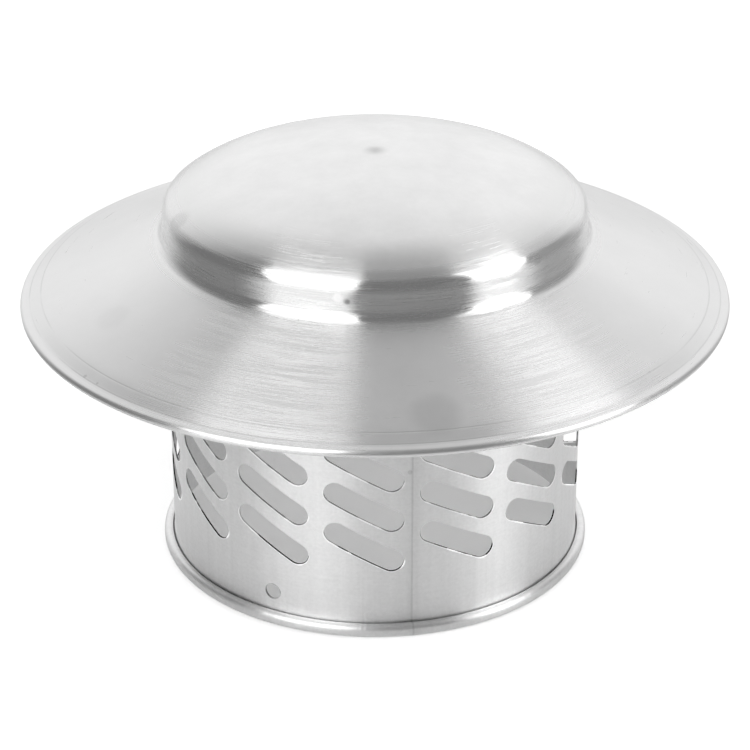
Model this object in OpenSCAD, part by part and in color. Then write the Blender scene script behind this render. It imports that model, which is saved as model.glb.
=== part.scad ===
// Chimney cap: a slotted sheet-metal tube with a rolled foot, and a spun rain hat welded over its top.
// +Z is up and the origin is the centre of the foot, on the surface that the cap stands on.
// Turns are in degrees about the axis, from the front (-Y) towards the right (+X).

/* [Tube] */
// Outer diameter of the tube
tube_d = 150; // [100:1:200]
// Height of the tube, from the foot to its top edge
tube_h = 131; // [118:1:220]
// Thickness of the tube sheet
tube_sheet = 0.5; // [0.4:0.1:0.8]
// Width of the groove along the welded seam
seam_w = 0.6; // [0.4:0.1:1.5]
// Depth of the groove along the welded seam
seam_depth = 0.1; // [0.05:0.05:0.2]

/* [Rolled foot] */
// Width of the rolled edge
foot_w = 3.9; // [3:0.1:5]
// Height of the rolled edge
foot_h = 4.8; // [4.6:0.1:7]
// How far the wall leans out where it runs into the roll
foot_flare = 0.4; // [0.2:0.1:1]
// Height at which the wall starts to lean out
flare_z = 7; // [5.5:0.1:8.5]
// Gap between the raw edge of the roll and the wall
foot_gap = 0.35; // [0.2:0.05:0.8]

/* [Slots] */
// Number of slots round the tube
slot_columns = 14; // [8:1:14]
// Overall length of a slot
slot_l = 30.3; // [20:0.1:31]
// Width of a slot
slot_w = 8.3; // [4:0.1:9]
// Slope of a slot, down to the right
slot_tilt = 28; // [15:1:32]
// Height of the lowest row of slots
first_row_z = 34.7; // [31:0.1:45]
// Distance from one row to the next
row_pitch = 15.7; // [14.5:0.1:25]
// Plain band left above the top row
top_margin = 20; // [15:1:30]

/* [Fixing holes] */
// Number of fixing holes
fixing_holes = 3; // [2:1:4]
// Diameter of a fixing hole
fixing_d = 5.7; // [3:0.1:8]
// Height of the fixing holes
fixing_z = 11.7; // [11.5:0.1:17]

/* [Rain hat] */
// Diameter over the rolled rim
brim_d = 254; // [220:1:320]
// Thickness of the hat sheet
hat_sheet = 0.5; // [0.4:0.1:0.8]
// Clearance between the tube and the band of the hat
seat_gap = 0.15; // [0.1:0.05:0.3]
// Straight height of the band that grips the tube
band_h = 5.1; // [4.4:0.1:15]
// Outer radius of the shoulder between band and dome
shoulder_r = 6.2; // [3:0.1:12]
// Slope of the haunch where it meets the shoulder
haunch_slope = 36; // [28:0.5:45]
// Width of the haunch between the shoulder and the flatter middle
haunch_w = 15; // [6:0.5:20]
// Slope of the flatter middle where it meets the haunch
dome_slope = 17.5; // [10:0.5:24]
// Radius of the hollow between band and brim
fillet_r = 5; // [3:0.5:10]
// Slope of the brim
brim_slope = 23.9; // [15:0.1:30]

/* [Rim] */
// Width of the shallow channel inside the rolled rim
channel_w = 4.4; // [3:0.1:8]
// How much steeper than the brim the channel runs
channel_tilt = 3.7; // [2:0.1:6]
// Width from the channel to the outer edge
lip_w = 3.1; // [3:0.1:5]
// Diameter of the rolled rim
rim_d = 3; // [2.6:0.1:4]

/* [Marks of making] */
// Radius of the centre mark on the dome
centre_mark_r = 3; // [2:0.5:6]
// Depth of the centre mark
centre_mark_depth = 0.4; // [0.2:0.1:1]
// Number of spot welds that hold the hat
spot_welds = 3; // [2:1:6]
// Diameter of a spot weld's mark
weld_d = 4.2; // [2:0.1:6]
// Depth of a spot weld's mark
weld_depth = 0.12; // [0.05:0.01:0.2]

/* [Hidden] */
$fn = 96;

// Segments in a quarter turn of a bend
bend_steps = 6;
dome_steps = 12;
haunch_steps = 6;
// Cutters reach this far past the sheet on each side
cut_reach = 6;

tube_r = tube_d / 2;
bore_r = tube_r - tube_sheet;

// The seam runs half-way between two columns of slots, and the fixing holes stand under columns
column_turn = 360 / slot_columns;
first_column = -3;
seam_turn = first_column + column_turn / 2;
fixing_turn = first_column - column_turn;
weld_turn = -8;

// The rows that fit between the lowest one and the plain band at the top
slot_half_h = (slot_l - slot_w) / 2 * sin(slot_tilt) + slot_w / 2;
slot_rows = floor((tube_h - top_margin - slot_half_h - first_row_z) / row_pitch) + 1;

// The roll is a stadium, and its raw edge stops short of the leaning wall
foot_r = foot_w / 2;
foot_cr = bore_r + foot_flare + foot_r;
foot_end = acos((foot_gap + tube_sheet - foot_r) / foot_r);

// Outer face of the hat
band_r = tube_r + seat_gap + hat_sheet;
shoulder_cr = band_r - shoulder_r;
fillet_z = tube_h - band_h;
fillet_cr = band_r + fillet_r;
haunch_end = shoulder_cr + shoulder_r * sin(haunch_slope);
haunch_r = haunch_w / (sin(haunch_slope) - sin(dome_slope));
haunch_c = [haunch_end - haunch_r * sin(haunch_slope), tube_h + (shoulder_r - haunch_r) * cos(haunch_slope)];
dome_r = (haunch_end - haunch_w) / sin(dome_slope);
dome_cz = haunch_c[1] + (haunch_r - dome_r) * cos(dome_slope);
mark_angle = asin(centre_mark_r / dome_r);

// Brim, channel and lip, each from the point where the one before it ends
brim_r = brim_d / 2;
brim_start = [fillet_cr - fillet_r * sin(brim_slope), fillet_z - fillet_r * cos(brim_slope)];
channel_start = along(brim_start, brim_r - lip_w - channel_w, brim_slope);
lip_start = along(channel_start, brim_r - lip_w, brim_slope + channel_tilt);
lip_slope = brim_slope - 10;
rim_r = rim_d / 2;
rim_cr = brim_r - rim_r;
rim_top = along(lip_start, rim_cr + rim_r * sin(lip_slope), lip_slope);
rim_cz = rim_top[1] - rim_r * cos(lip_slope);
rim_end = -210;

// The point at radius r on a line that falls outwards from p at a slope
function along(p, r, slope) = [r, p[1] - (r - p[0]) * tan(slope)];

// Points on an arc about c from angle a to angle b
function arc(c, r, a, b, steps) =
    [for (i = [0 : steps]) c + r * [cos(a + (b - a) * i / steps), sin(a + (b - a) * i / steps)]];

function bend(c, r, a, b) = arc(c, r, a, b, max(2, round(abs(b - a) / 90 * bend_steps)));

function unit(v) = v / norm(v);

function to_right(v) = [v[1], -v[0]];

// A path moved sideways, to the right of its direction, with mitred corners
function beside(path, distance) =
    [for (i = [0 : len(path) - 1])
        let (
            before = unit(path[max(i, 1)] - path[max(i, 1) - 1]),
            after = unit(path[min(i, len(path) - 2) + 1] - path[min(i, len(path) - 2)]),
            middle = to_right(unit(before + after))
        )
        path[i] + distance / (middle * to_right(after)) * middle];

// A path without the points that repeat the one before them
function tidy(path) = [for (i = [0 : len(path) - 1]) if (i == 0 || norm(path[i] - path[i - 1]) > 0.001) path[i]];

function reversed(path) = [for (i = [len(path) - 1 : -1 : 0]) path[i]];

// Sheet metal turned about the axis, with its thickness to the right of the path
module turned_sheet(path, thickness) {
    face = tidy(path);
    rotate_extrude(convexity = 8) polygon(concat(face, reversed(beside(face, thickness))));
}

// Puts its children on the wall of the tube or the hat, facing outwards
module on_wall(turn, radius, z) {
    rotate([0, 0, turn]) translate([0, -radius, z]) rotate([90, 0, 0]) children();
}

// Round cutters spaced evenly round the axis
module round_cuts(count, turn, radius, z, d) {
    for (i = [0 : count - 1])
        on_wall(turn + 360 * i / count, radius, z) cylinder(d = d, h = 2 * cut_reach);
}

// Outline of one slot with round ends
module slot_outline() {
    rotate(-slot_tilt) {
        square([slot_l - slot_w, slot_w], center = true);
        for (side = [-1, 1]) translate([side * (slot_l - slot_w) / 2, 0]) circle(d = slot_w);
    }
}

module slot_cuts() {
    for (column = [0 : slot_columns - 1], row = [0 : slot_rows - 1])
        on_wall(first_column + column * column_turn, tube_r - cut_reach, first_row_z + row * row_pitch)
            linear_extrude(height = 2 * cut_reach) slot_outline();
}

// Groove down the outside of the wall, above the roll
module seam_cut() {
    on_wall(seam_turn, tube_r - seam_depth, flare_z)
        translate([-seam_w / 2, 0, 0]) cube([seam_w, tube_h, cut_reach]);
}

module slotted_tube() {
    wall_and_foot = concat(
        [[bore_r, tube_h], [bore_r, flare_z]],
        bend([foot_cr, foot_r], foot_r, 180, 360),
        bend([foot_cr, foot_h - foot_r], foot_r, 0, foot_end)
    );
    color("silver") difference() {
        turned_sheet(reversed(wall_and_foot), tube_sheet);
        slot_cuts();
        seam_cut();
        round_cuts(fixing_holes, fixing_turn, tube_r - cut_reach, fixing_z, fixing_d);
    }
}

module rain_hat() {
    outer_face = concat(
        [[0, dome_cz + dome_r * cos(mark_angle) - centre_mark_depth]],
        arc([0, dome_cz], dome_r, 90 - mark_angle, 90 - dome_slope, dome_steps),
        arc(haunch_c, haunch_r, 90 - dome_slope, 90 - haunch_slope, haunch_steps),
        bend([shoulder_cr, tube_h], shoulder_r, 90 - haunch_slope, 0),
        bend([fillet_cr, fillet_z], fillet_r, 180, 270 - brim_slope),
        [channel_start, lip_start],
        bend([rim_cr, rim_cz], rim_r, 90 - lip_slope, rim_end)
    );
    color("gainsboro") difference() {
        turned_sheet(outer_face, hat_sheet);
        round_cuts(spot_welds, weld_turn, band_r - weld_depth, tube_h - band_h / 2, weld_d);
    }
}

slotted_tube();
rain_hat();
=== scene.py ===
"""A chimney cap in bright sheet metal: a slotted tube with a rolled foot, and a spun rain hat over it."""

import logging
import math
from abc import ABC, abstractmethod
from dataclasses import dataclass, field
from enum import Enum

import bmesh
import bpy
from mathutils import Matrix, Quaternion, Vector

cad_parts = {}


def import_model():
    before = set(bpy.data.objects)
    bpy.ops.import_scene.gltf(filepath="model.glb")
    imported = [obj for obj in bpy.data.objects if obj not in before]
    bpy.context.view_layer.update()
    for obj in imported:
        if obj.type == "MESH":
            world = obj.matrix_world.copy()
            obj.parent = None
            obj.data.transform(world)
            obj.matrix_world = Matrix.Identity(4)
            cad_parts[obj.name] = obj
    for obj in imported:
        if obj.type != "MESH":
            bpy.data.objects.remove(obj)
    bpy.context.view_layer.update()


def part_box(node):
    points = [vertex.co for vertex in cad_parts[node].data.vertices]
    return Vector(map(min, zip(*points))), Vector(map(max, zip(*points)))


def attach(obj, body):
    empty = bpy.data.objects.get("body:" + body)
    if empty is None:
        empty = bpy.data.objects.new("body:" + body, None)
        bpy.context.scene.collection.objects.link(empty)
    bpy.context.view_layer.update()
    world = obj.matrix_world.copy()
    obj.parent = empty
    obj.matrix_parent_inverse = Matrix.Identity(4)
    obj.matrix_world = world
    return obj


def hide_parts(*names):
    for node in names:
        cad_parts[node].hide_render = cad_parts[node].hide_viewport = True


LOG = logging.getLogger("chimney_cap")
MM = 0.001
PICTURE_PX = 750
FULL_TURN = 2 * math.pi
BODY = "root"

# Points of a mesh that are nearer than this are one, and a cut that runs nearer to a point goes through it
TOUCH = 1e-6
CUT_TOUCH = 1e-7

Point = tuple[float, float]

# Where a step starts and where it ends, or the two ends of a band. A step whose start is above its end falls
Reach = tuple[float, float]


class Slot(Enum):
    """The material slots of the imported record."""

    TUBE = "tube_sheet"
    HAT = "hat_sheet"


def arc(centre: Point, radius: float, start: float, end: float, steps: int) -> list[Point]:
    """Points on an arc.

    Args:
        centre: The arc's centre, as a radius and a height.
        radius: The arc's radius.
        start: Where it starts, in degrees.
        end: Where it ends, in degrees.
        steps: How many segments it has.

    Returns:
        The points, both ends included.
    """
    turns = [math.radians(start + (end - start) * i / steps) for i in range(steps + 1)]
    return [(centre[0] + radius * math.cos(turn), centre[1] + radius * math.sin(turn)) for turn in turns]


def falling(start: Point, radius: float, slope: float) -> Point:
    """The point at a radius on a line that falls outwards.

    Args:
        start: Where the line starts.
        radius: The radius of the point.
        slope: The line's slope, in degrees.

    Returns:
        The point.
    """
    return radius, start[1] - (radius - start[0]) * math.tan(math.radians(slope))


def straight(start: Point, end: Point, steps: int) -> list[Point]:
    """Points on a straight line, without its start.

    Args:
        start: Where it starts.
        end: Where it ends.
        steps: How many segments it has.

    Returns:
        The points after the start.
    """
    return [
        (start[0] + (end[0] - start[0]) * i / steps, start[1] + (end[1] - start[1]) * i / steps)
        for i in range(1, steps + 1)
    ]


def on_round(radius: float, turn: float, z: float) -> Vector:
    """A point by its radius, its turn in radians from the front towards the right, and its height."""
    return Vector((radius * math.sin(turn), -radius * math.cos(turn), z))


@dataclass(frozen=True)
class Value:
    """A number, a vector or a shader in a node tree. Operators combine numbers through Math nodes."""

    graph: "Graph"
    socket: bpy.types.NodeSocket

    def __add__(self, other: "Number") -> "Value":
        """The sum of this and another number."""
        return self.graph.math("ADD", self, other)

    def __radd__(self, other: "Number") -> "Value":
        """The sum, with this number second."""
        return self.graph.math("ADD", other, self)

    def __sub__(self, other: "Number") -> "Value":
        """This number less another."""
        return self.graph.math("SUBTRACT", self, other)

    def __rsub__(self, other: "Number") -> "Value":
        """Another number less this one."""
        return self.graph.math("SUBTRACT", other, self)

    def __mul__(self, other: "Number") -> "Value":
        """The product of this and another number."""
        return self.graph.math("MULTIPLY", self, other)

    def __rmul__(self, other: "Number") -> "Value":
        """The product, with this number second."""
        return self.graph.math("MULTIPLY", other, self)

    def __truediv__(self, other: "Number") -> "Value":
        """This number divided by another."""
        return self.graph.math("DIVIDE", self, other)

    def __rtruediv__(self, other: "Number") -> "Value":
        """Another number divided by this one."""
        return self.graph.math("DIVIDE", other, self)

    def __neg__(self) -> "Value":
        """This number with its sign turned."""
        return self.graph.math("MULTIPLY", self, -1.0)

    def __abs__(self) -> "Value":
        """The size of this number."""
        return self.graph.math("ABSOLUTE", self)


Number = Value | float


def blend(start: Number, end: Number, share: Number) -> Number:
    """The number that is a share of the way from one number to another."""
    return start + share * (end - start)


@dataclass(frozen=True)
class Noise:
    """Smooth noise: how many bumps it has in a metre, its octaves, and how much the finer ones count."""

    scale: float
    detail: float = 2.0
    roughness: float = 0.5


@dataclass(frozen=True)
class Lines:
    """Noise drawn out into lines: the stretches in a turn, the lines in a metre, and the finer octaves."""

    per_turn: float
    per_metre: float
    detail: float = 2.0
    roughness: float = 0.5


class Graph:
    """A node tree, filled by expressions on values and by one method for every other node."""

    def __init__(self, tree: bpy.types.NodeTree) -> None:
        """Empties a node tree and takes it over.

        Args:
            tree: The node tree of a material or a world.
        """
        self.tree = tree
        tree.nodes.clear()

    def node(self, kind: str, settings: dict | None = None, inputs: dict | None = None) -> bpy.types.Node:
        """Adds one node.

        Args:
            kind: The node's type, such as ShaderNodeTexNoise.
            settings: Properties that are set first.
            inputs: Values or links of its sockets, by name or by number.

        Returns:
            The new node.
        """
        node = self.tree.nodes.new(kind)
        for name, setting in (settings or {}).items():
            setattr(node, name, setting)
        for key, value in (inputs or {}).items():
            if isinstance(value, Value):
                self.tree.links.new(value.socket, node.inputs[key])
            else:
                node.inputs[key].default_value = value
        return node

    def value(
        self, kind: str, settings: dict | None = None, inputs: dict | None = None, output: str | int = 0
    ) -> Value:
        """Adds one node and gives one of its outputs.

        Args:
            kind: The node's type.
            settings: Properties that are set first.
            inputs: Values or links of its sockets.
            output: The name or the number of the output.

        Returns:
            The output as a value.
        """
        return Value(self, self.node(kind, settings, inputs).outputs[output])

    def math(self, operation: str, *numbers: Number) -> Value:
        """Adds a Math node.

        Args:
            operation: The node's operation.
            numbers: Its inputs, in order.

        Returns:
            Its result.
        """
        return self.value("ShaderNodeMath", {"operation": operation}, dict(enumerate(numbers)))

    def step(self, number: Number, low: float, high: float) -> Value:
        """A smooth step from 0 at one number to 1 at another.

        Args:
            number: The number that is looked at.
            low: Where the step starts. It may be above the end.
            high: Where the step ends.

        Returns:
            The step's value.
        """
        inputs = {"Value": number, "From Min": low, "From Max": high}
        return self.value("ShaderNodeMapRange", {"interpolation_type": "SMOOTHSTEP"}, inputs)

    def band(self, number: Value, low: float, high: float, soft: float) -> Value:
        """1 between two numbers and 0 outside them, with soft ends.

        Args:
            number: The number that is looked at.
            low: The lower end.
            high: The upper end.
            soft: The width of each end, half inside and half outside.

        Returns:
            The band's value.
        """
        half = soft / 2
        return self.step(number, low - half, low + half) * self.step(number, high + half, high - half)

    def length(self, *sides: Value) -> Value:
        """The length of a vector with these sides."""
        return self.math("SQRT", sum(side * side for side in sides))

    def turn(self, x: Value, y: Value) -> Value:
        """The turn of a direction, in degrees from the front towards the right."""
        return self.math("ARCTAN2", x, -y) * math.degrees(1.0)

    def noise(self, where: Value, noise: Noise) -> Value:
        """Reads a noise.

        Args:
            where: The vector that it is read at.
            noise: How it looks.

        Returns:
            The noise, about 0 and less than half to either side.
        """
        inputs = {"Vector": where, "Scale": noise.scale, "Detail": noise.detail, "Roughness": noise.roughness}
        return self.value("ShaderNodeTexNoise", {"noise_dimensions": "3D"}, inputs, "Fac") - 0.5

    def vector(self, x: Number, y: Number, z: Number) -> Value:
        """A vector from three numbers."""
        return self.value("ShaderNodeCombineXYZ", None, {"X": x, "Y": y, "Z": z})

    def parts(self, vector: Value) -> tuple[Value, Value, Value]:
        """The three numbers of a vector."""
        node = self.node("ShaderNodeSeparateXYZ", None, {"Vector": vector})
        return Value(self, node.outputs["X"]), Value(self, node.outputs["Y"]), Value(self, node.outputs["Z"])

    def grey(self, number: Number) -> Value:
        """A grey of that brightness."""
        return self.value("ShaderNodeCombineColor", None, {"Red": number, "Green": number, "Blue": number})

    def metal(self, tone: Value, roughness: Value, height: Value, more: dict | None = None) -> Value:
        """Makes the shader of bare grey metal.

        Args:
            tone: How much light it gives back.
            roughness: How rough it is.
            height: How far its surface is raised, in metres.
            more: Values or links of the shader's other sockets.

        Returns:
            The shader.
        """
        bump = self.value("ShaderNodeBump", None, {"Height": height, "Distance": 1.0, "Strength": 1.0})
        inputs = {"Base Color": self.grey(tone), "Metallic": 1.0, "Roughness": roughness, "Normal": bump}
        return self.value("ShaderNodeBsdfPrincipled", None, inputs | (more or {}))

    def glow(self, strength: Value) -> Value:
        """A shader that gives white light of a strength."""
        return self.value("ShaderNodeEmission", None, {"Strength": strength})

    def rays(self, kind: str) -> Value:
        """1 for rays of a kind, such as Is Camera Ray, and 0 for others."""
        return self.value("ShaderNodeLightPath", output=kind)


@dataclass(frozen=True)
class Cylindrical:
    """The coordinates that round sheet metal is finished in, in metres and degrees."""

    graph: Graph
    spot: Value
    x: Value
    y: Value
    z: Value
    radius: Value
    turn: Value

    @classmethod
    def of(cls, graph: Graph) -> "Cylindrical":
        """Works out the coordinates from the object's own.

        Args:
            graph: The node tree of the material.

        Returns:
            The coordinates. The turn is counted from the front towards the right.
        """
        spot = graph.value("ShaderNodeTexCoord", output="Object")
        x, y, z = graph.parts(spot)
        return cls(graph, spot, x, y, z, graph.length(x, y), graph.turn(x, y))

    def clouds(self, noise: Noise) -> Value:
        """Noise that is as fine one way as another, about 0."""
        return self.graph.noise(self.spot, noise)

    def lines(self, across: Value, lines: Lines) -> Value:
        """Noise in lines.

        Args:
            across: The coordinate that counts the lines, in metres.
            lines: How long and how close they are. With few to a metre and many stretches to a turn
                they stand upright.

        Returns:
            The noise, about 0.
        """
        reach = lines.per_turn / FULL_TURN
        x, y = self.x / self.radius * reach, self.y / self.radius * reach
        where = self.graph.vector(x, y, across * lines.per_metre)
        return self.graph.noise(where, Noise(1.0, lines.detail, lines.roughness))


@dataclass(frozen=True)
class Mark:
    """A round mark on a piece: a weld, a smudge, a nick, painted shade round a hole or beside a weld, or a
    painted highlight. Its turn is in degrees.
    """

    turn: float
    radius: float
    z: float
    size: float
    strength: float = 1.0
    soft: float = 0.5

    def mask(self, place: Cylindrical) -> Value:
        """The mark's strength inside it and 0 outside, with an edge that is a share of its size wide.

        Args:
            place: The coordinates of the surface.

        Returns:
            The mask.
        """
        centre = on_round(self.radius, math.radians(self.turn), self.z)
        away = place.graph.length(place.x - centre.x, place.y - centre.y, place.z - centre.z)
        reach = (self.size * (1 + self.soft / 2), self.size * (1 - self.soft / 2))
        return place.graph.step(away, *reach) * self.strength


def masks(marks: tuple[Mark, ...], place: Cylindrical) -> Value:
    """The sum of several marks' masks."""
    return sum(mark.mask(place) for mark in marks)


class Finish(ABC):
    """A finish, which makes a material from the coordinates of a surface."""

    name: str

    @abstractmethod
    def shader(self, place: Cylindrical) -> Value:
        """Makes the shader. Each finish has its own.

        Args:
            place: The coordinates of the surface.

        Returns:
            The shader.
        """

    def build(self) -> bpy.types.Material:
        """Makes the material.

        Returns:
            The material.
        """
        material = bpy.data.materials.new(self.name)
        material.use_nodes = True
        graph = Graph(material.node_tree)
        graph.node("ShaderNodeOutputMaterial", None, {"Surface": self.shader(Cylindrical.of(graph))})
        return material


@dataclass(frozen=True)
class DullCrown:
    """The dull, cloudy middle of the dome, which is darker in the centre mark."""

    tone: float = 0.90
    clouds: Noise = Noise(60.0, 4.0, 0.6)
    cloud_tone: float = 0.20
    cloud_depth: float = 0.10 * MM
    specks: Noise = Noise(420.0, 3.0, 0.6)
    speck_tone: float = 0.06
    speck_depth: float = 0.10 / 6 * MM
    mark_reach: Reach = (5.6 * MM, 0.2 * MM)
    mark_shade: float = 0.24
    roughness: float = 0.36
    roughness_swing: float = 0.12

    def shader(self, place: Cylindrical) -> Value:
        """Makes the shader.

        Args:
            place: The coordinates of the surface.

        Returns:
            The shader.
        """
        cloud = place.clouds(self.clouds)
        speck = place.clouds(self.specks)
        mark = place.graph.step(place.radius, *self.mark_reach)
        tone = self.tone + cloud * self.cloud_tone + speck * self.speck_tone - mark * self.mark_shade
        rough = self.roughness + (cloud + speck) * self.roughness_swing
        return place.graph.metal(tone, rough, cloud * self.cloud_depth + speck * self.speck_depth)


@dataclass(frozen=True)
class BrushedMetal:
    """The lined metal of the shoulder, the band and the brim.

    Its lines run round the axis. They show strongly on the band and in the lit turns, and faintly elsewhere.
    """

    tone: float = 0.82
    tone_swing: float = 0.09
    fine: Lines = Lines(34.0, 1500.0, 6.0, 0.7)
    broad: Lines = Lines(6.0, 330.0)
    fine_share: float = 0.8
    broad_share: float = 0.5
    line_depth: float = 0.009 * MM
    lit_turns: tuple[Reach, ...] = ((-36.0, -8.0), (22.0, 46.0))
    lit_soft: float = 16.0
    faint: float = 0.6
    unlit: float = 0.04
    band_reach: Reach = (72.0 * MM, 79.0 * MM)
    band_soft: float = 4.0 * MM
    band_lines: float = 1.5
    band_unlit: float = 0.4
    brim_lines: float = 0.8
    brim_calm: float = 0.9
    broad_roughness: float = 0.4
    rough_reach: Reach = (-0.10, 0.18)
    smooth_line: float = 0.14
    rough_line: float = 0.36
    brim_roughness: float = 0.295
    brim_swing: float = 0.21
    brim_middle: float = 0.36
    anisotropy: float = 1.0
    across_the_lines: float = 0.25
    stains: Noise = Noise(22.0, 3.0)
    stain_tone: float = 0.05
    creases: tuple[float, ...] = (119.5 * MM, 123.6 * MM)
    crease_width: float = 0.40 * MM
    crease_depth: float = 0.05 * MM
    # How much painted shade darkens the creases
    crease_painted_shade: float = 0.2
    crease_patches: Noise = Noise(30.0)
    patch_reach: Reach = (-0.14, 0.10)
    weld: Mark = Mark(-8.2, 75.65 * MM, 129.4 * MM, 2.9 * MM, soft=2.0)
    weld_depth: float = 0.10 * MM
    # A polished weld spot; its raised tone is a painted highlight on the dent's lit side
    spatter_and_highlight: Mark = Mark(-9.4, 75.65 * MM, 130.0 * MM, 1.7 * MM, soft=0.8)
    spatter_highlight_tone: float = 0.16
    spatter_polish: float = 0.6
    # Painted shade on the dented weld's far side, in its pit and beside it, then two dark nicks near the rim
    weld_shade_and_nicks: tuple[Mark, ...] = (
        Mark(-7.1, 75.65 * MM, 128.7 * MM, 0.95 * MM, 0.4, 1.2),
        Mark(-5.7, 75.65 * MM, 129.2 * MM, 2.2 * MM, 0.35, 1.4),
        Mark(-52.2, 123.0 * MM, 101.4 * MM, 0.7 * MM, 0.3),
        Mark(-48.9, 122.9 * MM, 101.4 * MM, 0.5 * MM, 0.3),
    )
    # Two on the brim, one on the haunch and one on the shoulder
    smudges: tuple[Mark, ...] = (
        Mark(10.0, 113.2 * MM, 106.0 * MM, 8.0 * MM, 0.065, 0.7),
        Mark(-61.4, 102.5 * MM, 110.7 * MM, 6.0 * MM, 0.022, 0.7),
        Mark(-69.7, 72.7 * MM, 136.3 * MM, 4.5 * MM, 0.06, 0.7),
        Mark(46.7, 75.0 * MM, 133.8 * MM, 2.2 * MM, 0.12, 0.7),
    )

    def shader(self, place: Cylindrical, on_brim: Value) -> Value:
        """Makes the shader.

        Args:
            place: The coordinates of the surface.
            on_brim: 1 on the brim and 0 inside it.

        Returns:
            The shader.
        """
        across = place.radius - place.z
        fine = place.lines(across, self.fine)
        broad = place.lines(across, self.broad)
        stain = place.clouds(self.stains)
        strength = self._line_strength(place, on_brim)
        lines = (fine * self.fine_share + broad * self.broad_share) * strength
        smudge = masks(self.smudges, place) * (1 + stain)
        crease = self._creases(place)
        spatter_and_highlight = self.spatter_and_highlight.mask(place)
        # The lines' tone follows their strength, so in the lit turns it is painted highlight streaking as
        # well as grain
        tone = self.tone + lines * self.tone_swing * (1 - on_brim * self.brim_calm) + stain * self.stain_tone
        # The creases darken the tone with painted shade
        tone = tone - smudge - crease * self.crease_painted_shade
        # Painted shade beside the weld, and a painted highlight on the polished weld spot
        tone = tone * (1 - masks(self.weld_shade_and_nicks, place)) + spatter_and_highlight * self.spatter_highlight_tone
        roughened = place.graph.step((fine + broad * self.broad_roughness) * strength, *self.rough_reach)
        brim_rough = self.brim_roughness + (roughened - self.brim_middle) * self.brim_swing
        rough = blend(blend(self.smooth_line, self.rough_line, roughened), brim_rough, on_brim) + smudge
        rough = rough * (1 - spatter_and_highlight * self.spatter_polish)
        dent = self.weld.mask(place) * self.weld_depth
        height = lines * self.line_depth - crease * self.crease_depth - dent
        more = {"Anisotropic": self.anisotropy, "Anisotropic Rotation": self.across_the_lines}
        return place.graph.metal(tone, rough, height, more)

    def _line_strength(self, place: Cylindrical, on_brim: Value) -> Value:
        """How strongly the lines show.

        Args:
            place: The coordinates of the surface.
            on_brim: 1 on the brim and 0 inside it.

        Returns:
            The strength, most of it in the lit turns.
        """
        on_band = place.graph.band(place.radius, *self.band_reach, self.band_soft)
        lit = sum(place.graph.band(place.turn, *turns, self.lit_soft) for turns in self.lit_turns)
        more_on_band = on_band * (self.band_lines - self.faint)
        more_on_brim = on_brim * (self.brim_lines - self.faint)
        unlit = blend(self.unlit, self.band_unlit, on_band)
        return (self.faint + more_on_band + more_on_brim) * blend(unlit, 1.0, lit)

    def _creases(self, place: Cylindrical) -> Value:
        """Marks the creases that the forming of the rim left, strong in places and faint in others.

        Args:
            place: The coordinates of the surface.

        Returns:
            1 in the middle of a strong crease and 0 away from it.
        """
        graph = place.graph
        total = sum(graph.step(abs(place.radius - radius), self.crease_width, 0.0) for radius in self.creases)
        return total * graph.step(place.clouds(self.crease_patches), *self.patch_reach)


@dataclass(frozen=True)
class SpunFinish(Finish):
    """The hat's finish: a dull crown, and lined metal outside it. A little of the dullness is on the brim."""

    name: str = "spun_sheet"
    crown: DullCrown = DullCrown()
    lined: BrushedMetal = BrushedMetal()
    crown_reach: Reach = (54.0 * MM, 68.0 * MM)
    crown_share: float = 0.72
    haunch_reach: Reach = (69.5 * MM, 71.5 * MM)
    haunch_share: float = 0.28
    brim_reach: Reach = (77.5 * MM, 81.0 * MM)
    brim_dull: float = 0.32

    def shader(self, place: Cylindrical) -> Value:
        """Makes the shader.

        Args:
            place: The coordinates of the surface.

        Returns:
            The shader.
        """
        graph = place.graph
        past_crown = graph.step(place.radius, *self.crown_reach)
        past_haunch = graph.step(place.radius, *self.haunch_reach)
        on_brim = graph.step(place.radius, *self.brim_reach)
        share = past_crown * self.crown_share + past_haunch * self.haunch_share
        share = share * (1 - on_brim * self.brim_dull)
        inputs = {0: share, 1: self.crown.shader(place), 2: self.lined.shader(place, on_brim)}
        return graph.value("ShaderNodeMixShader", None, inputs)


@dataclass(frozen=True)
class SlotPattern:
    """Where the slots are on the tube, and what shape they have."""

    columns: int = 14
    rows: int = 5
    length: float = 30.3 * MM
    width: float = 8.3 * MM
    tilt: float = 28.0
    first_row_z: float = 34.7 * MM
    row_pitch: float = 15.7 * MM
    first_column: float = -3.0
    end_steps: int = 12

    @property
    def half_straight(self) -> float:
        """Half the length of the straight part between the round ends."""
        return (self.length - self.width) / 2

    def outline(self, x: float, z: float) -> list[Point]:
        """The outline of a slot with round ends, sloping down to the right.

        Args:
            x: The slot's middle along the sheet.
            z: The slot's middle up the sheet.

        Returns:
            Its points.
        """
        right = arc((self.half_straight, 0.0), self.width / 2, -90.0, 90.0, self.end_steps)
        left = arc((-self.half_straight, 0.0), self.width / 2, 90.0, 270.0, self.end_steps)
        turn = Matrix.Rotation(-math.radians(self.tilt), 2)
        return [tuple(Vector((x, z)) + turn @ Vector(point)) for point in right + left]


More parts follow.
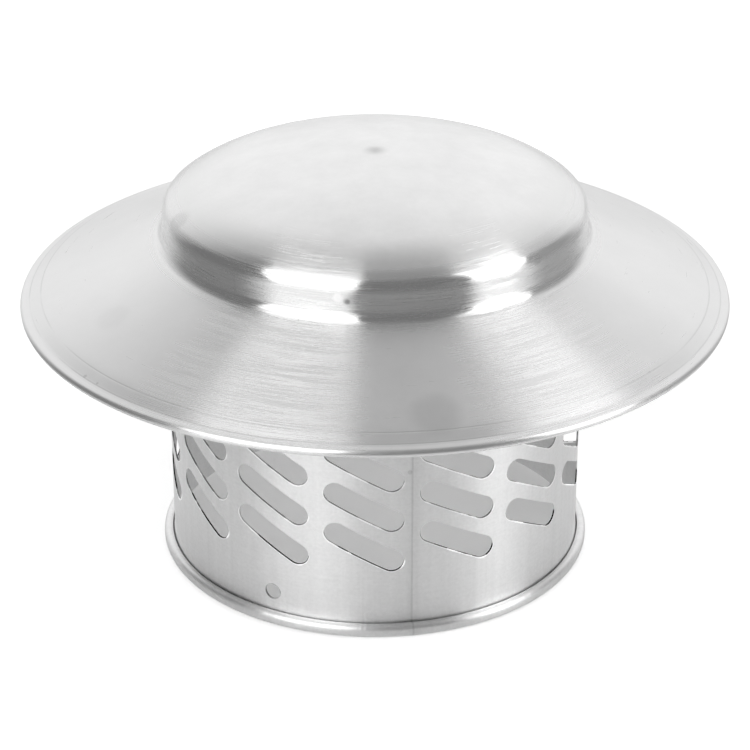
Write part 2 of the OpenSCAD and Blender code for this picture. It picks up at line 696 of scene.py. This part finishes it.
@dataclass(frozen=True)
class PaintedSlotEdges:
    """Painted shade and a painted glint below and to the right of each slot, where the punch left a burr: a
    dark line, then a bright one.

    The reach round a slot is counted down from its middle line, in shares of the slot's width.
    """

    slots: SlotPattern = SlotPattern()
    inner_r: float = 74.5 * MM
    width: float = 0.17 * MM
    soft: float = 0.17 / 3 * MM
    right_share: float = 0.8
    right_soft: float = 1.0 * MM
    reach: Reach = (0.05, 0.3)

    def lines(self, place: Cylindrical) -> tuple[Value, Value]:
        """Finds the lines.

        Args:
            place: The coordinates of the surface.

        Returns:
            1 on the dark line of painted shade, and 1 on the bright line of painted glint that follows it.
        """
        graph, slots = place.graph, self.slots
        column = (place.turn - slots.first_column) / (360.0 / slots.columns)
        along = (column - graph.math("ROUND", column)) * (FULL_TURN / slots.columns * self.inner_r)
        level = (place.z - slots.first_row_z) / slots.row_pitch
        cos, sin = math.cos(math.radians(slots.tilt)), math.sin(math.radians(slots.tilt))
        dark: Number = 0.0
        bright: Number = 0.0
        for step in (0, 1):
            row = graph.math("MINIMUM", graph.math("FLOOR", level) + step, slots.rows - 1)
            up = (level - graph.math("MAXIMUM", row, 0.0)) * slots.row_pitch
            x = along * cos - up * sin
            y = along * sin + up * cos
            past_end = graph.math("MAXIMUM", abs(x) - slots.half_straight, 0.0)
            away = graph.length(past_end, y) - slots.width / 2
            right_end = past_end * graph.step(x, 0.0, self.right_soft)
            low, high = self.reach[0] * slots.width, self.reach[1] * slots.width
            lower = graph.step(right_end * self.right_share - y, low, high)
            dark = dark + graph.band(away, -self.width, self.width, self.soft) * lower
            bright = bright + graph.band(away, self.width, 3 * self.width, self.soft) * lower
        return dark, bright


@dataclass(frozen=True)
class RolledFinish(Finish):
    """The tube's finish: bright rolled sheet, with faint upright marks where the rolls bent it."""

    name: str = "rolled_sheet"
    tone: float = 0.89
    grain: Lines = Lines(60.0, 1500.0, 3.0, 0.6)
    grain_tone: float = 0.07
    grain_roughness: float = 0.05
    grain_depth: float = 0.004 * MM
    bends: Lines = Lines(22.0 * FULL_TURN, 6.0, 4.0, 0.6)
    bend_tone: float = 0.12
    bend_depth: float = 0.10 * MM
    clouds: Noise = Noise(45.0, 4.0, 0.6)
    cloud_tone: float = 0.05
    cloud_roughness: float = 0.08
    specks: Noise = Noise(900.0)
    speck_tone: float = 0.12
    roughness: float = 0.37
    anisotropy: float = 0.85
    along_the_tube: float = 0.25
    outer_r: float = 75.0 * MM
    seam_turn: float = 9.86
    seam_reach: Reach = (0.5 * MM, 0.2 * MM)
    seam_shade: float = 0.11
    heat_reach: Reach = (4.5 * MM, 0.0)
    heat_shade: float = 0.02
    heat_roughness: float = 0.05
    seam_tick: Mark = Mark(9.2, 75.0 * MM, 64.0 * MM, 0.8 * MM, 0.15)
    # Painted shade round the edges of the fixing holes
    hole_shades: tuple[Mark, ...] = tuple(
        Mark(turn, 75.0 * MM, 11.7 * MM, 3.15 * MM, soft=0.1) for turn in (-28.7, 91.3, -148.7)
    )
    # Painted shade and a glowing painted glint along the slots' lower edges
    edges: PaintedSlotEdges = PaintedSlotEdges()
    edge_patches: Noise = Noise(150.0)
    patch_reach: Reach = (-0.10, 0.06)
    edge_shade: float = 0.2
    patch_shade: float = 0.5
    edge_glint: float = 0.36
    glint_loss: float = 0.8

    def shader(self, place: Cylindrical) -> Value:
        """Makes the shader.

        Args:
            place: The coordinates of the surface.

        Returns:
            The shader.
        """
        graph = place.graph
        bends = place.lines(place.z, self.bends)
        grain = place.lines(place.z, self.grain)
        cloud = place.clouds(self.clouds)
        from_seam = abs(place.turn - self.seam_turn) * (math.radians(1.0) * self.outer_r)
        seam = graph.step(from_seam, *self.seam_reach)
        heat = graph.step(from_seam, *self.heat_reach)
        patchy = graph.step(place.clouds(self.edge_patches), *self.patch_reach)
        # The dark line is painted shade and the bright line is a painted glint, which glows
        dark, bright = self.edges.lines(place)
        # The fixing holes get painted shade round their edges too
        dark = dark + masks(self.hole_shades, place)
        bright = bright * (1 - patchy * self.glint_loss)
        tone = self.tone + grain * self.grain_tone + cloud * self.cloud_tone + bends * self.bend_tone
        tone = tone + place.clouds(self.specks) * self.speck_tone - seam * self.seam_shade
        tone = tone - heat * self.heat_shade - self.seam_tick.mask(place)
        tone = tone * (1 - dark * (self.edge_shade + patchy * self.patch_shade))
        rough = self.roughness + cloud * self.cloud_roughness + grain * self.grain_roughness
        rough = rough + heat * self.heat_roughness
        more = {
            # The painted glint glows through the emission
            "Emission Color": graph.grey(bright * self.edge_glint),
            "Emission Strength": 1.0,
            "Anisotropic": self.anisotropy,
            "Anisotropic Rotation": self.along_the_tube,
        }
        return graph.metal(tone, rough, grain * self.grain_depth + bends * self.bend_depth, more)


@dataclass(frozen=True)
class Sector:
    """A part of the far floor, as turns from the front, and how bright the metal sees it."""

    turns: Reach
    level: float
    soft: float


@dataclass(frozen=True)
class FloorFinish(Finish):
    """A white floor that keeps the object's shadow. The metal sees it only as far as a table's edge.

    The lifts are light of its own: what the camera sees outside and inside the tube, and what the metal
    mirrors there.
    """

    name: str = "white_floor"
    tone: float = 0.80
    lift: float = 0.50
    lift_inside: float = 0.245
    mirrored_lift: float = 0.16
    mirrored_inside: float = 0.225
    tube_reach: Reach = (0.076, 0.080)
    open_reach: Reach = (0.078, 0.108)
    table_reach: Reach = (0.24, 0.36)
    beyond: tuple[Sector, ...] = (
        Sector((-124.0, -60.0), 0.24, 24.0),
        Sector((-52.0, -14.0), 1.02, 12.0),
        Sector((-12.0, 49.0), 0.275, 8.0),
        Sector((86.0, 132.0), 0.42, 16.0),
    )
    least_cover: float = 0.01

    def shader(self, place: Cylindrical) -> Value:
        """Makes the shader.

        Args:
            place: The coordinates of the surface.

        Returns:
            The shader.
        """
        graph = place.graph
        mirrored = graph.rays("Is Glossy Ray")
        outside = graph.step(place.radius, *self.tube_reach)
        seen_lift = blend(self.lift_inside, self.lift, outside)
        # The mirrored lift fades out near the foot, which leaves a painted contact shadow in what the metal
        # mirrors
        open_lift = graph.step(place.radius, *self.open_reach) * self.mirrored_lift
        mirrored_lift = open_lift + (1 - outside) * self.mirrored_inside
        matt = graph.value("ShaderNodeBsdfDiffuse", None, {"Color": (self.tone, self.tone, self.tone, 1.0)})
        glow = graph.glow(graph.rays("Is Camera Ray") * seen_lift + mirrored * mirrored_lift)
        table = graph.value("ShaderNodeAddShader", None, {0: matt, 1: glow})
        # Past the table's edge the metal mirrors glowing sectors, painted reflections of the room, dim in
        # most turns and bright under the left lamp
        inside = [graph.band(place.turn, *sector.turns, sector.soft) for sector in self.beyond]
        covered = sum(inside)
        level = sum(share * sector.level for share, sector in zip(inside, self.beyond))
        far = graph.glow(level / graph.math("MAXIMUM", covered, self.least_cover))
        shown = graph.step(place.radius, *self.table_reach) * graph.math("MINIMUM", covered, 1.0)
        return graph.value("ShaderNodeMixShader", None, {0: mirrored * shown, 1: table, 2: far})


def make_sheet(
    name: str, mesh: bmesh.types.BMesh, thickness: float, material: bpy.types.Material
) -> bpy.types.Object:
    """Turns a face of a sheet into a piece of sheet metal.

    Args:
        name: The piece's name.
        mesh: One face of the sheet, with its normals away from the metal.
        thickness: How thick the sheet is.
        material: Its finish.

    Returns:
        The piece, with its modifiers applied.
    """
    data = bpy.data.meshes.new(name)
    mesh.to_mesh(data)
    mesh.free()
    piece = bpy.data.objects.new(name, data)
    bpy.context.scene.collection.objects.link(piece)
    wall = piece.modifiers.new("sheet", "SOLIDIFY")
    wall.thickness = thickness
    wall.offset = -1.0
    wall.use_even_offset = True
    bpy.context.view_layer.update()
    solid = bpy.data.meshes.new_from_object(piece.evaluated_get(bpy.context.evaluated_depsgraph_get()))
    piece.modifiers.clear()
    piece.data = solid
    solid.name = name
    bpy.data.meshes.remove(data)
    solid.materials.clear()
    solid.materials.append(material)
    for polygon in solid.polygons:
        polygon.use_smooth = True
    return piece


def sharpen(piece: bpy.types.Object, angle: float) -> None:
    """Marks the edges of a smooth piece that turn by more than an angle as sharp.

    Args:
        piece: The piece.
        angle: The angle, in degrees.
    """
    mesh = bmesh.new()
    mesh.from_mesh(piece.data)
    for edge in mesh.edges:
        edge.smooth = len(edge.link_faces) == 2 and edge.calc_face_angle(0.0) < math.radians(angle)
    mesh.to_mesh(piece.data)
    mesh.free()


def top_face(mesh: bmesh.types.BMesh) -> bmesh.types.BMFace:
    """The face with the highest middle."""
    return max(mesh.faces, key=lambda face: face.calc_center_median().z)


@dataclass
class RainHat:
    """The hat: one spun sheet with a dome, a shoulder, a gripping band, a brim and a rolled rim."""

    brim_d: float
    band_top: float
    sheet: float = 0.5 * MM
    band_r: float = 75.65 * MM
    band_h: float = 5.1 * MM
    shoulder_r: float = 6.2 * MM
    haunch_slope: float = 36.0
    haunch_w: float = 15.0 * MM
    dome_slope: float = 17.5
    fillet_r: float = 5.0 * MM
    brim_slope: float = 23.9
    channel_w: float = 4.4 * MM
    channel_tilt: float = 3.7
    lip_w: float = 3.1 * MM
    lip_rise: float = 10.0
    rim_r: float = 1.5 * MM
    rim_end: float = -210.0
    centre_mark_r: float = 3.0 * MM
    centre_mark_depth: float = 0.4 * MM
    dished_end: float = 89.0
    dished_steps: int = 8
    dome_steps: int = 20
    haunch_steps: int = 12
    shoulder_steps: int = 14
    band_steps: int = 4
    fillet_steps: int = 10
    brim_steps: int = 12
    channel_steps: int = 4
    lip_steps: int = 2
    rim_steps: int = 26
    spin_steps: int = 360
    sharp_angle: float = 50.0
    finish: SpunFinish = field(default_factory=SpunFinish)

    @classmethod
    def from_frame(cls) -> "RainHat":
        """Takes the hat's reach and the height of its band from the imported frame."""
        low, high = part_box("rain_hat")
        return cls(brim_d=high.x - low.x, band_top=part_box("slotted_tube")[1].z)

    def profile(self) -> list[Point]:
        """Works out the outer face, from the middle of the dome to the raw edge inside the rolled rim.

        Returns:
            Points of the profile, as radii and heights.
        """
        centre = (self.band_r - self.shoulder_r, self.band_top)
        shoulder = arc(centre, self.shoulder_r, 90.0 - self.haunch_slope, 0.0, self.shoulder_steps)
        return self._dome_profile() + shoulder[1:] + self._brim_profile(shoulder[-1])

    def _dome_profile(self) -> list[Point]:
        """Works out the dome and the steeper haunch round it.

        Returns:
            Points from the middle of the dome to the shoulder.
        """
        steep, slope = math.radians(self.haunch_slope), math.radians(self.dome_slope)
        haunch_end = self.band_r - self.shoulder_r + self.shoulder_r * math.sin(steep)
        haunch_r = self.haunch_w / (math.sin(steep) - math.sin(slope))
        haunch_z = self.band_top + (self.shoulder_r - haunch_r) * math.cos(steep)
        haunch_c = (haunch_end - haunch_r * math.sin(steep), haunch_z)
        dome_r = (haunch_end - self.haunch_w) / math.sin(slope)
        dome_c = (0.0, haunch_z + (haunch_r - dome_r) * math.cos(slope))
        dome_end, shoulder_start = 90.0 - self.dome_slope, 90.0 - self.haunch_slope
        points = [self._dished(p) for p in arc(dome_c, dome_r, 90.0, self.dished_end, self.dished_steps)]
        points += arc(dome_c, dome_r, self.dished_end, dome_end, self.dome_steps)[1:]
        return points + arc(haunch_c, haunch_r, dome_end, shoulder_start, self.haunch_steps)[1:]

    def _brim_profile(self, start: Point) -> list[Point]:
        """Works out the rest of the band, the hollow under it, and the brim up to its rolled rim.

        Args:
            start: The last point of the shoulder.

        Returns:
            The points after the start.
        """
        fillet_c = (self.band_r + self.fillet_r, self.band_top - self.band_h)
        fillet = arc(fillet_c, self.fillet_r, 180.0, 270.0 - self.brim_slope, self.fillet_steps)
        brim_r = self.brim_d / 2
        channel = falling(fillet[-1], brim_r - self.lip_w - self.channel_w, self.brim_slope)
        lip = falling(channel, brim_r - self.lip_w, self.brim_slope + self.channel_tilt)
        lip_slope = self.brim_slope - self.lip_rise
        rim_cr = brim_r - self.rim_r
        rim_top = falling(lip, rim_cr + self.rim_r * math.sin(math.radians(lip_slope)), lip_slope)
        rim_c = (rim_cr, rim_top[1] - self.rim_r * math.cos(math.radians(lip_slope)))
        rim = arc(rim_c, self.rim_r, 90.0 - lip_slope, self.rim_end, self.rim_steps)
        points = straight(start, fillet[0], self.band_steps) + fillet[1:]
        points += straight(fillet[-1], channel, self.brim_steps)
        points += straight(channel, lip, self.channel_steps)
        return points + straight(lip, rim[0], self.lip_steps) + rim[1:]

    def _dished(self, point: Point) -> Point:
        """Lowers a point of the dome by the centre mark.

        Args:
            point: The point on the plain dome.

        Returns:
            The point on the dished dome.
        """
        share = min(point[0] / self.centre_mark_r, 1.0)
        return point[0], point[1] - self.centre_mark_depth * (1 - share * share) ** 2

    def build(self) -> bpy.types.Object:
        """Spins the profile into the hat, with its dome looking up.

        Returns:
            The hat.
        """
        mesh = bmesh.new()
        corners = [mesh.verts.new((0.0, -radius, z)) for radius, z in self.profile()]
        edges = [mesh.edges.new(pair) for pair in zip(corners, corners[1:])]
        bmesh.ops.spin(
            mesh,
            geom=corners + edges,
            cent=(0.0, 0.0, 0.0),
            axis=(0.0, 0.0, 1.0),
            angle=FULL_TURN,
            steps=self.spin_steps,
            use_merge=True,
        )
        bmesh.ops.remove_doubles(mesh, verts=mesh.verts, dist=TOUCH)
        bmesh.ops.recalc_face_normals(mesh, faces=mesh.faces)
        if top_face(mesh).normal.z < 0:
            bmesh.ops.reverse_faces(mesh, faces=mesh.faces)
        piece = make_sheet("rain_hat_shell", mesh, self.sheet, self.finish.build())
        sharpen(piece, self.sharp_angle)
        return piece


@dataclass(frozen=True)
class Ripple:
    """A wave round the foot: how often it comes in a turn, its size as a share of the gap, and its shift."""

    count: float
    size: float
    shift: float

    def at(self, turn: float) -> float:
        """Its height at a turn, in radians."""
        return self.size * math.sin(self.count * turn + self.shift)


@dataclass
class SlottedTube:
    """The tube: one rolled sheet with slanted slots, its lower edge leaned out and rolled into a foot."""

    height: float
    outer_r: float = 75.0 * MM
    sheet: float = 0.5 * MM
    flare_z: float = 7.0 * MM
    flare: float = 0.4 * MM
    foot_w: float = 3.9 * MM
    foot_h: float = 4.8 * MM
    foot_gap: float = 0.35 * MM
    lean_steps: int = 4
    bottom_steps: int = 18
    top_steps: int = 12
    ripples: tuple[Ripple, ...] = (Ripple(5.0, 0.45, 1.3), Ripple(11.0, 0.25, 0.4))
    seam_kink: Ripple = Ripple(26.0, -0.9, math.pi / 2)
    kink_reach: float = 0.16
    loose_steps: int = 5
    stray_way: Point = (0.7, 0.5)
    slots: SlotPattern = SlotPattern()
    fixing_holes: int = 3
    fixing_d: float = 5.7 * MM
    fixing_z: float = 11.7 * MM
    fixing_steps: int = 24
    seam_w: float = 0.6 * MM
    seam_depth: float = 0.1 * MM
    cuts_per_column: int = 18
    sharp_angle: float = 40.0
    finish: RolledFinish = field(default_factory=RolledFinish)

    @classmethod
    def from_frame(cls) -> "SlottedTube":
        """Takes the tube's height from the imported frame."""
        return cls(height=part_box("slotted_tube")[1].z)

    @property
    def inner_r(self) -> float:
        """The radius of the inner face."""
        return self.outer_r - self.sheet

    @property
    def column_w(self) -> float:
        """The width of one column of the flat sheet, measured on the inner face."""
        return FULL_TURN * self.inner_r / self.slots.columns

    @property
    def flat_length(self) -> float:
        """The length of the flat sheet, measured on the inner face."""
        return self.column_w * self.slots.columns

    @property
    def seam_turn(self) -> float:
        """The turn of the seam, in radians, half-way between two columns."""
        return math.radians(self.slots.first_column + 180.0 / self.slots.columns)

    def build(self) -> bpy.types.Object:
        """Cuts the flat sheet, rolls it up, turns its lower edge into the foot and gives it its thickness.

        The sheet is its inner face, which looks at the axis, so that the metal lies outside it.

        Returns:
            The tube.
        """
        mesh = self._flat_sheet()
        self._roll_up(mesh)
        self._turn_foot(mesh)
        bmesh.ops.recalc_face_normals(mesh, faces=mesh.faces)
        wall = top_face(mesh)
        if wall.normal.dot(wall.calc_center_median() * Vector((1.0, 1.0, 0.0))) > 0:
            bmesh.ops.reverse_faces(mesh, faces=mesh.faces)
        piece = make_sheet("slotted_tube_shell", mesh, self.sheet, self.finish.build())
        self._press_seam(piece)
        sharpen(piece, self.sharp_angle)
        return piece

    def _flat_sheet(self) -> bmesh.types.BMesh:
        """Cuts the sheet while it is flat: one column after another, joined edge to edge.

        Returns:
            The flat sheet, with X along it from the seam and Z up it.
        """
        mesh = bmesh.new()
        for column in range(self.slots.columns):
            self._add_column(mesh, column, self._hole_offset(column))
        bmesh.ops.remove_doubles(mesh, verts=mesh.verts, dist=TOUCH)
        for cut in (self.seam_w / 2, self.flat_length - self.seam_w / 2):
            self._cut(mesh, cut)
        return mesh

    def _hole_offset(self, column: int) -> float | None:
        """Where a fixing hole falls in a column.

        The first hole is in the middle of the last column but one, since the seam is the sheet's end.

        Args:
            column: The column, counted from the seam towards the right.

        Returns:
            The place along the flat sheet, or None where the column has no hole.
        """
        first = self.column_w * (self.slots.columns - 1.5)
        for i in range(self.fixing_holes):
            place = (first + self.flat_length * i / self.fixing_holes) % self.flat_length
            if column * self.column_w <= place < (column + 1) * self.column_w:
                return place
        return None

    def _add_column(self, mesh: bmesh.types.BMesh, column: int, hole: float | None) -> None:
        """Adds one column of the flat sheet with its slots and its fixing hole.

        Args:
            mesh: The flat sheet so far.
            column: The column's number, from the seam.
            hole: Where its fixing hole is, if it has one.
        """
        cell = bmesh.new()
        low, high = column * self.column_w, (column + 1) * self.column_w
        corners = [(low, self.flare_z), (high, self.flare_z), (high, self.height), (low, self.height)]
        self._add_loop(cell, corners)
        for row in range(self.slots.rows):
            z = self.slots.first_row_z + row * self.slots.row_pitch
            self._add_loop(cell, self.slots.outline((low + high) / 2, z))
        if hole is not None:
            end = 360.0 - 360.0 / self.fixing_steps
            circle = arc((hole, self.fixing_z), self.fixing_d / 2, 0.0, end, self.fixing_steps - 1)
            self._add_loop(cell, circle)
        bmesh.ops.triangle_fill(cell, edges=cell.edges, use_beauty=True)
        for cut in range(1, self.cuts_per_column):
            self._cut(cell, low + self.column_w * cut / self.cuts_per_column)
        part = bpy.data.meshes.new("column")
        cell.to_mesh(part)
        cell.free()
        mesh.from_mesh(part)
        bpy.data.meshes.remove(part)

    @staticmethod
    def _add_loop(mesh: bmesh.types.BMesh, points: list[Point]) -> None:
        """Adds a closed loop of edges to the flat sheet.

        Args:
            mesh: The flat sheet.
            points: The loop's points, along and up the sheet.
        """
        corners = [mesh.verts.new((x, 0.0, z)) for x, z in points]
        for pair in zip(corners, corners[1:] + corners[:1]):
            mesh.edges.new(pair)

    @staticmethod
    def _cut(mesh: bmesh.types.BMesh, x: float) -> None:
        """Cuts the flat sheet's faces along an upright line, so that it can bend there.

        Args:
            mesh: The flat sheet.
            x: Where the line is.
        """
        everything = mesh.verts[:] + mesh.edges[:] + mesh.faces[:]
        bmesh.ops.bisect_plane(
            mesh, geom=everything, dist=CUT_TOUCH, plane_co=(x, 0.0, 0.0), plane_no=(1.0, 0.0, 0.0)
        )

    def _roll_up(self, mesh: bmesh.types.BMesh) -> None:
        """Rolls the flat sheet round the axis and joins its ends.

        Args:
            mesh: The flat sheet.
        """
        for vert in mesh.verts:
            vert.co = on_round(self.inner_r, self.seam_turn + vert.co.x / self.inner_r, vert.co.z)
        bmesh.ops.remove_doubles(mesh, verts=mesh.verts, dist=2 * TOUCH)

    def _foot_profile(self) -> list[Point]:
        """The face of the foot that shows, from where the wall leans out to the raw edge of the roll.

        Returns:
            Its points, without the first one, which is the wall's own.
        """
        radius = self.foot_w / 2
        middle = self.inner_r + self.flare + radius
        bottom = arc((middle, radius), radius, 180.0, 360.0, self.bottom_steps)
        end = math.degrees(math.acos((self.foot_gap + self.sheet - radius) / radius))
        top = arc((middle, self.foot_h - radius), radius, 0.0, end, self.top_steps)
        return straight((self.inner_r, self.flare_z), bottom[0], self.lean_steps) + bottom[1:] + top

    def _gap_swing(self, turn: float) -> float:
        """How far the raw edge of the roll strays, as it does in hand-fed rolling, and most at the seam.

        Args:
            turn: The turn from the front, in radians.

        Returns:
            The stray towards the wall, as a share of the gap.
        """
        from_seam = (turn - self.seam_turn + math.pi) % FULL_TURN - math.pi
        seam = math.exp(-((from_seam / self.kink_reach) ** 2))
        ripple = sum(ripple.at(turn) for ripple in self.ripples)
        return ripple * (1 - seam) + self.seam_kink.at(from_seam) * seam

    def _turn_foot(self, mesh: bmesh.types.BMesh) -> None:
        """Draws the lower edge down, out and round into the rolled foot. Its last few rows stray.

        Args:
            mesh: The rolled sheet.
        """
        outer_edges = (edge for edge in mesh.edges if edge.is_boundary)
        rim = [edge for edge in outer_edges if all(abs(v.co.z - self.flare_z) < TOUCH for v in edge.verts)]
        points = self._foot_profile()
        for number, (radius, z) in enumerate(points):
            grown = bmesh.ops.extrude_edge_only(mesh, edges=rim)["geom"]
            rim = [item for item in grown if isinstance(item, bmesh.types.BMEdge)]
            loose = max(0.0, (number + 1 - len(points) + self.loose_steps) / self.loose_steps)
            for vert in (item for item in grown if isinstance(item, bmesh.types.BMVert)):
                turn = math.atan2(vert.co.x, -vert.co.y)
                stray = self._gap_swing(turn) * loose * self.foot_gap
                inwards, down = self.stray_way
                vert.co = on_round(radius - stray * inwards, turn, z - stray * down)

    def _press_seam(self, piece: bpy.types.Object) -> None:
        """Sinks the line of the welded seam into the outside of the wall.

        Args:
            piece: The tube.
        """
        line_w = self.seam_w / 8
        outside_r = self.outer_r - self.sheet / 4
        for vert in piece.data.vertices:
            radius = math.hypot(vert.co.x, vert.co.y)
            turn = math.atan2(vert.co.x, -vert.co.y)
            on_seam = abs(turn - self.seam_turn) * radius < line_w
            if on_seam and vert.co.z > self.flare_z and radius > outside_r:
                vert.co = on_round(radius - self.seam_depth, turn, vert.co.z)


@dataclass(frozen=True)
class Viewpoint:
    """Where the photograph was taken from, fitted to the circles of the object."""

    distance: float = 890.07 * MM
    height: float = 509.37 * MM
    pitch_down: float = 26.575
    focal_px: float = 2718.55
    sensor: float = 36.0
    nearest: float = 0.01

    def build(self) -> bpy.types.Object:
        """Makes the camera and hands it to the scene.

        Returns:
            The camera.
        """
        data = bpy.data.cameras.new("photo_camera")
        data.sensor_fit = "HORIZONTAL"
        data.sensor_width = self.sensor
        data.lens = self.sensor * self.focal_px / PICTURE_PX
        data.clip_start = self.nearest
        camera = bpy.data.objects.new("photo_camera", data)
        camera.location = (0.0, -self.distance, self.height)
        camera.rotation_euler = (math.radians(90.0 - self.pitch_down), 0.0, 0.0)
        bpy.context.scene.collection.objects.link(camera)
        bpy.context.scene.camera = camera
        return camera


@dataclass(frozen=True)
class SoftBox:
    """A soft rectangular lamp.

    It faces the object and leans to a side. Its rise moves it up its own face, off the line that it is
    aimed along.
    """

    name: str
    turn: float
    elevation: float
    lean: float
    width: float
    height: float
    rise: float
    radiance: float
    distance: float = 1.6
    aim_z: float = 0.1

    def build(self) -> bpy.types.Object:
        """Makes the lamp.

        Returns:
            The lamp.
        """
        data = bpy.data.lights.new(self.name, "AREA")
        data.shape = "RECTANGLE"
        data.size, data.size_y = self.width, self.height
        data.energy = self.radiance * math.pi * self.width * self.height
        lamp = bpy.data.objects.new(self.name, data)
        flat = self.distance * math.cos(math.radians(self.elevation))
        up = self.distance * math.sin(math.radians(self.elevation))
        stand = on_round(flat, math.radians(self.turn), self.aim_z + up)
        facing = (Vector((0.0, 0.0, self.aim_z)) - stand).to_track_quat("-Z", "Y")
        facing = facing @ Quaternion((0.0, 0.0, 1.0), math.radians(self.lean))
        lamp.location = stand + facing @ Vector((0.0, self.rise, 0.0))
        lamp.rotation_euler = facing.to_euler()
        lamp.visible_camera = False
        bpy.context.scene.collection.objects.link(lamp)
        return lamp


@dataclass(frozen=True)
class Zone:
    """A part of the studio's surround, as turns from the front and elevations, and how bright it is."""

    turns: Reach
    elevations: Reach
    level: float
    soft: float

    def over(self, graph: Graph, below: Number, turn: Value, elevation: Value) -> Value:
        """Lays the zone over what is there.

        Args:
            graph: The world's node tree.
            below: The brightness without the zone.
            turn: The turn of the direction, in degrees.
            elevation: Its elevation, in degrees.

        Returns:
            The brightness with the zone.
        """
        in_turns = graph.band(turn, *self.turns, self.soft)
        in_elevations = graph.band(elevation, *self.elevations, self.soft)
        return blend(below, self.level, in_turns * in_elevations)


@dataclass(frozen=True)
class Surround:
    """The white studio round the object, with its darker parts, which only the metal shows."""

    white: float = 0.96
    zones: tuple[Zone, ...] = (
        Zone((-200.0, 200.0), (65.0, 150.0), 0.32, 56.0),
        Zone((-70.0, 120.0), (62.0, 130.0), 0.304, 24.0),
        Zone((-128.0, -48.0), (-130.0, 70.0), 0.192, 44.0),
        Zone((80.0, 130.0), (-130.0, 44.0), 0.336, 28.0),
        Zone((-14.0, 58.0), (-130.0, 72.0), 0.20, 10.0),
    )

    def build(self) -> bpy.types.World:
        """Makes the world and hands it to the scene.

        Returns:
            The world.
        """
        world = bpy.data.worlds.new("studio")
        world.use_nodes = True
        graph = Graph(world.node_tree)
        x, y, z = graph.parts(graph.value("ShaderNodeTexCoord", output="Generated"))
        turn = graph.turn(x, y)
        elevation = graph.math("ARCSINE", z) * math.degrees(1.0)
        level: Number = self.white
        for zone in self.zones:
            level = zone.over(graph, level, turn, elevation)
        strength = blend(level, 1.0, graph.rays("Is Camera Ray"))
        inputs = {"Color": (1.0, 1.0, 1.0, 1.0), "Strength": strength}
        sky = graph.value("ShaderNodeBackground", None, inputs)
        graph.node("ShaderNodeOutputWorld", None, {"Surface": sky})
        bpy.context.scene.world = world
        return world


@dataclass(frozen=True)
class Studio:
    """The floor, the lamps, the surround and the camera."""

    floor_size: float = 8.0
    boxes: tuple[SoftBox, ...] = (
        SoftBox("left_box", -34.7, 26.8, 14.4, 1.32, 2.62, 0.77, 1.45),
        SoftBox("right_box", 73.4, 34.4, -24.0, 0.86, 2.02, -0.15, 1.42),
    )

    def build(self) -> None:
        """Sets the studio up."""
        mesh = bmesh.new()
        bmesh.ops.create_grid(mesh, x_segments=1, y_segments=1, size=self.floor_size / 2)
        data = bpy.data.meshes.new("floor")
        mesh.to_mesh(data)
        mesh.free()
        floor = bpy.data.objects.new("floor", data)
        data.materials.append(FloorFinish().build())
        bpy.context.scene.collection.objects.link(floor)
        for box in self.boxes:
            box.build()
        Surround().build()
        Viewpoint().build()
        bpy.context.scene.view_settings.view_transform = "Standard"


def seat(piece: bpy.types.Object, node: str) -> None:
    """Puts a finished piece in the place of its CAD node.

    Args:
        piece: The finished piece.
        node: The node that it stands for.
    """
    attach(piece, BODY)
    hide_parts(node)
    LOG.info("%s: %d vertices, %d faces", piece.name, len(piece.data.vertices), len(piece.data.polygons))


def main() -> None:
    """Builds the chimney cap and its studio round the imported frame."""
    logging.basicConfig(level=logging.INFO, format="%(name)s: %(message)s")
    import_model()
    Studio().build()
    seat(SlottedTube.from_frame().build(), "slotted_tube")
    seat(RainHat.from_frame().build(), "rain_hat")


if __name__ == "__main__":
    main()
